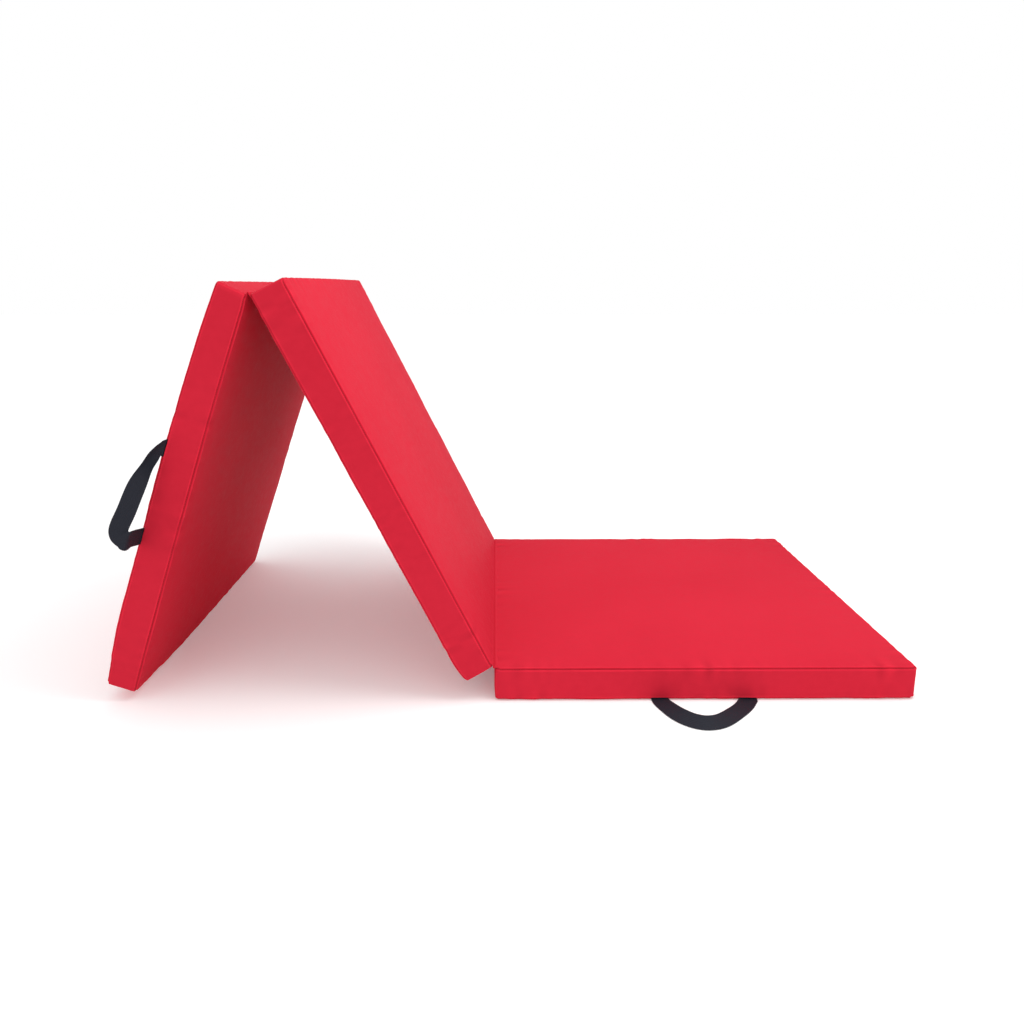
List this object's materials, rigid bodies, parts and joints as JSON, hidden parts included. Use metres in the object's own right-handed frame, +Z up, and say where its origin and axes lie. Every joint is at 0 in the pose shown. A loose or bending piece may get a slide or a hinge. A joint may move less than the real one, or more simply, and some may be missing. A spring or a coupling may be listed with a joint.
{
  "type": "folding gym mat",
  "caption": "Tri-fold exercise mat: padded panels in a sewn fabric cover, joined in a zigzag by fabric fold hinges, with webbing carry handles and zips.",
  "frame": {"origin": "centre of the base panel's underside, on the floor", "axes": "+X along the mat from the folded end towards the base panel's free end, +Y across the mat away from the handles, +Z up"},
  "size_m": [1.1578, 0.6882, 0.5874],
  "materials": {
    "cover_fabric": "coated plain-weave polyester, matte with a faint sheen",
    "foam": "closed-cell foam, matte",
    "sewing_thread": "matte polyester thread",
    "zip_tape": "woven tape, matte",
    "zip_coil": "semi-matte nylon",
    "zip_metal": "black lacquered zinc",
    "webbing": "ribbed polypropylene webbing, matte"
  },
  "bodies": {
    "base_panel": {"base_top_sheet": "cover_fabric", "base_bottom_sheet": "cover_fabric", "base_near_wall": "cover_fabric", "base_far_wall_upper": "cover_fabric", "base_far_wall_lower": "cover_fabric", "base_right_end_wall": "cover_fabric", "base_left_end_wall": "cover_fabric", "base_foam_core": "foam", "base_top_seam_thread": "sewing_thread", "base_bottom_seam_thread": "sewing_thread", "base_zip_tapes": "zip_tape", "base_zip_coils": "zip_coil", "base_zip_stops": "zip_coil", "lower_fold_strip": "cover_fabric", "base_handle_tails": "webbing"},
    "middle_panel": {"middle_top_sheet": "cover_fabric", "middle_bottom_sheet": "cover_fabric", "middle_near_wall": "cover_fabric", "middle_far_wall_upper": "cover_fabric", "middle_far_wall_lower": "cover_fabric", "middle_right_end_wall": "cover_fabric", "middle_left_end_wall": "cover_fabric", "middle_foam_core": "foam", "middle_top_seam_thread": "sewing_thread", "middle_bottom_seam_thread": "sewing_thread", "middle_zip_tapes": "zip_tape", "middle_zip_coils": "zip_coil", "middle_zip_stops": "zip_coil", "upper_fold_strip": "cover_fabric"},
    "end_panel": {"end_top_sheet": "cover_fabric", "end_bottom_sheet": "cover_fabric", "end_near_wall": "cover_fabric", "end_far_wall_upper": "cover_fabric", "end_far_wall_lower": "cover_fabric", "end_right_end_wall": "cover_fabric", "end_left_end_wall": "cover_fabric", "end_foam_core": "foam", "end_top_seam_thread": "sewing_thread", "end_bottom_seam_thread": "sewing_thread", "end_zip_tapes": "zip_tape", "end_zip_coils": "zip_coil", "end_zip_stops": "zip_coil", "end_handle_tails": "webbing"},
    "base_handle": {"base_handle_loop": "webbing"},
    "end_handle": {"end_handle_loop": "webbing"},
    "base_zip_slider": {"base_zip_slider": "zip_metal"},
    "base_zip_pull": {"base_zip_pull": "zip_metal"},
    "middle_zip_slider": {"middle_zip_slider": "zip_metal"},
    "middle_zip_pull": {"middle_zip_pull": "zip_metal"},
    "end_zip_slider": {"end_zip_slider": "zip_metal"},
    "end_zip_pull": {"end_zip_pull": "zip_metal"}
  },
  "joints": [
    {"name": "lower_fold", "type": "hinge", "parent": "base_panel", "child": "middle_panel", "pos_m": [-0.3005, 0, 0.05075], "axis": [0, 1, 0], "range_deg": [-63.6, 116.4], "deforming": ["lower_fold_strip"]},
    {"name": "upper_fold", "type": "hinge", "parent": "middle_panel", "child": "end_panel", "pos_m": [-0.61385, 0, 0.56617], "axis": [0, 1, 0], "range_deg": [-45.58, 134.42], "deforming": ["upper_fold_strip"]},
    {"name": "base_handle_swing", "type": "hinge", "parent": "base_panel", "child": "base_handle", "pos_m": [0, -0.3018, 0.0011], "axis": [1, 0, 0], "range_deg": [-80, 85]},
    {"name": "end_handle_swing", "type": "hinge", "parent": "end_panel", "child": "end_handle", "pos_m": [-0.75779, -0.30171, 0.30549], "axis": [0.3285, 0, 0.9445], "range_deg": [-68, 88]},
    {"name": "base_zip_slide", "type": "slide", "parent": "base_panel", "child": "base_zip_slider", "axis": [-1, 0, 0], "range_m": [0, 0.527]},
    {"name": "base_zip_pull_turn", "type": "hinge", "parent": "base_zip_slider", "child": "base_zip_pull", "pos_m": [0.2635, 0.3036, 0.025], "axis": [0, 0, 1], "range_deg": [0, 180]},
    {"name": "middle_zip_slide", "type": "slide", "parent": "middle_panel", "child": "middle_zip_slider", "axis": [-0.4446, 0, 0.8957], "range_m": [0, 0.527]},
    {"name": "middle_zip_pull_turn", "type": "hinge", "parent": "middle_zip_slider", "child": "middle_zip_pull", "pos_m": [-0.34002, 0.3036, 0.07244], "axis": [0.8957, 0, 0.4446], "range_deg": [0, 180]},
    {"name": "end_zip_slide", "type": "slide", "parent": "end_panel", "child": "end_zip_slider", "axis": [0.3285, 0, 0.9445], "range_m": [0, 0.527]},
    {"name": "end_zip_pull_turn", "type": "hinge", "parent": "end_zip_slider", "child": "end_zip_pull", "pos_m": [-0.82348, 0.3036, 0.04194], "axis": [0.9445, 0, -0.3285], "range_deg": [0, 180]}
  ]
}
